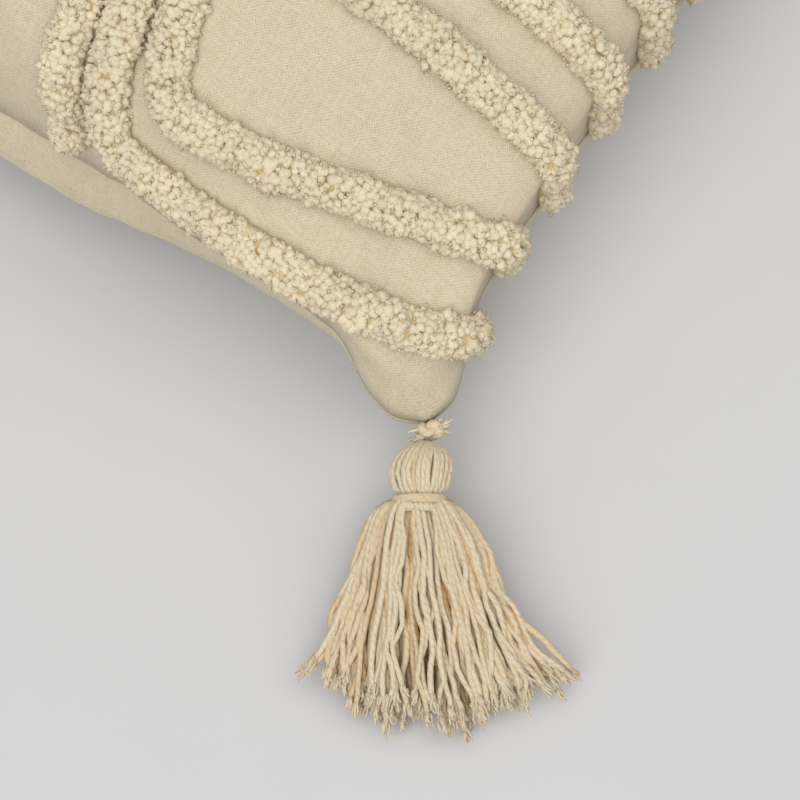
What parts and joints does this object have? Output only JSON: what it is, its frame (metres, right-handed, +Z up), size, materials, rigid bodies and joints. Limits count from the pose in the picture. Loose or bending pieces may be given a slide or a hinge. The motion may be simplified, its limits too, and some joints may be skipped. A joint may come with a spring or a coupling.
{
  "type": "throw pillow",
  "caption": "Square cotton canvas throw pillow with tufted pile stripes, a yarn tassel at each corner, a zipped cover and a fibre-filled insert.",
  "frame": {"origin": "on the surface the pillow lies on, under the middle of its bounding box", "axes": "+Z up through the front panel; the edges run along X and Y, and the zipper is in the +Y edge"},
  "size_m": [0.6074, 0.6074, 0.1369],
  "materials": {
    "cotton_canvas": "matte",
    "overlock_thread": "matte",
    "insert_casing": "matte",
    "polyester_fibre": "matte",
    "tufted_yarn": "matte",
    "zipper_tape": "matte",
    "nylon_coil": "satin",
    "enamelled_zinc": "satin",
    "zipper_stop": "satin",
    "tassel_yarn": "matte"
  },
  "bodies": {
    "cover": {"front_panel": "cotton_canvas", "back_panel": "cotton_canvas", "seam_overlock": "overlock_thread", "insert_casing_front": "insert_casing", "insert_casing_back": "insert_casing", "fibre_fill": "polyester_fibre", "tuft_right_stem": "tufted_yarn", "tuft_left_stem": "tufted_yarn", "tuft_right_outer_bracket": "tufted_yarn", "tuft_left_outer_bracket": "tufted_yarn", "tuft_right_inner_bracket": "tufted_yarn", "tuft_left_inner_bracket": "tufted_yarn", "tuft_right_rung_1": "tufted_yarn", "tuft_left_rung_1": "tufted_yarn", "tuft_right_rung_2": "tufted_yarn", "tuft_left_rung_2": "tufted_yarn", "tuft_right_rung_3": "tufted_yarn", "tuft_left_rung_3": "tufted_yarn", "tuft_right_rung_4": "tufted_yarn", "tuft_left_rung_4": "tufted_yarn", "tuft_right_rung_5": "tufted_yarn", "tuft_left_rung_5": "tufted_yarn", "tuft_right_rung_6": "tufted_yarn", "tuft_left_rung_6": "tufted_yarn", "tuft_right_rung_7": "tufted_yarn", "tuft_left_rung_7": "tufted_yarn", "tuft_right_rung_8": "tufted_yarn", "tuft_left_rung_8": "tufted_yarn", "tuft_right_rung_9": "tufted_yarn", "tuft_left_rung_9": "tufted_yarn", "tuft_right_rung_10": "tufted_yarn", "tuft_left_rung_10": "tufted_yarn", "tuft_right_rung_11": "tufted_yarn", "tuft_left_rung_11": "tufted_yarn", "zipper_tape_front": "zipper_tape", "zipper_tape_back": "zipper_tape", "zipper_coil_front": "nylon_coil", "zipper_coil_back": "nylon_coil", "zipper_stop_closed_end": "zipper_stop", "zipper_stop_open_end": "zipper_stop"},
    "zipper_slider": {"zipper_slider": "enamelled_zinc"},
    "zipper_pull": {"zipper_pull": "enamelled_zinc"},
    "tassel_1_knot": {"tassel_1_knot": "tassel_yarn"},
    "tassel_1": {"tassel_1_hank": "tassel_yarn", "tassel_1_wrap": "tassel_yarn"},
    "tassel_2_knot": {"tassel_2_knot": "tassel_yarn"},
    "tassel_2": {"tassel_2_hank": "tassel_yarn", "tassel_2_wrap": "tassel_yarn"},
    "tassel_3_knot": {"tassel_3_knot": "tassel_yarn"},
    "tassel_3": {"tassel_3_hank": "tassel_yarn", "tassel_3_wrap": "tassel_yarn"},
    "tassel_4_knot": {"tassel_4_knot": "tassel_yarn"},
    "tassel_4": {"tassel_4_hank": "tassel_yarn", "tassel_4_wrap": "tassel_yarn"}
  },
  "joints": [
    {"name": "zipper_slide", "type": "slide", "parent": "cover", "child": "zipper_slider", "axis": [-1, 0, 0], "range_m": [0, 0.302]},
    {"name": "zipper_pull_turn", "type": "hinge", "parent": "zipper_slider", "child": "zipper_pull", "pos_m": [0.151, 0.2075, 0.05], "axis": [0, 0, 1], "range_deg": [0, 178]},
    {"name": "tassel_1_swing", "type": "hinge", "parent": "cover", "child": "tassel_1_knot", "pos_m": [0.21855, -0.21855, 0.027], "axis": [0, 0, 1], "range_deg": [-50, 70]},
    {"name": "tassel_1_lift", "type": "hinge", "parent": "tassel_1_knot", "child": "tassel_1", "pos_m": [0.21855, -0.21855, 0.027], "axis": [-0.8261, -0.5635, 0], "range_deg": [-75, 95]},
    {"name": "tassel_2_swing", "type": "hinge", "parent": "cover", "child": "tassel_2_knot", "pos_m": [0.21855, 0.21855, 0.027], "axis": [0, 0, 1], "range_deg": [-50, 70]},
    {"name": "tassel_2_lift", "type": "hinge", "parent": "tassel_2_knot", "child": "tassel_2", "pos_m": [0.21855, 0.21855, 0.027], "axis": [0.5635, -0.8261, 0], "range_deg": [-75, 95]},
    {"name": "tassel_3_swing", "type": "hinge", "parent": "cover", "child": "tassel_3_knot", "pos_m": [-0.21855, 0.21855, 0.027], "axis": [0, 0, 1], "range_deg": [-50, 70]},
    {"name": "tassel_3_lift", "type": "hinge", "parent": "tassel_3_knot", "child": "tassel_3", "pos_m": [-0.21855, 0.21855, 0.027], "axis": [0.8261, 0.5635, 0], "range_deg": [-75, 95]},
    {"name": "tassel_4_swing", "type": "hinge", "parent": "cover", "child": "tassel_4_knot", "pos_m": [-0.21855, -0.21855, 0.027], "axis": [0, 0, 1], "range_deg": [-50, 70]},
    {"name": "tassel_4_lift", "type": "hinge", "parent": "tassel_4_knot", "child": "tassel_4", "pos_m": [-0.21855, -0.21855, 0.027], "axis": [-0.5635, 0.8261, 0], "range_deg": [-75, 95]}
  ]
}
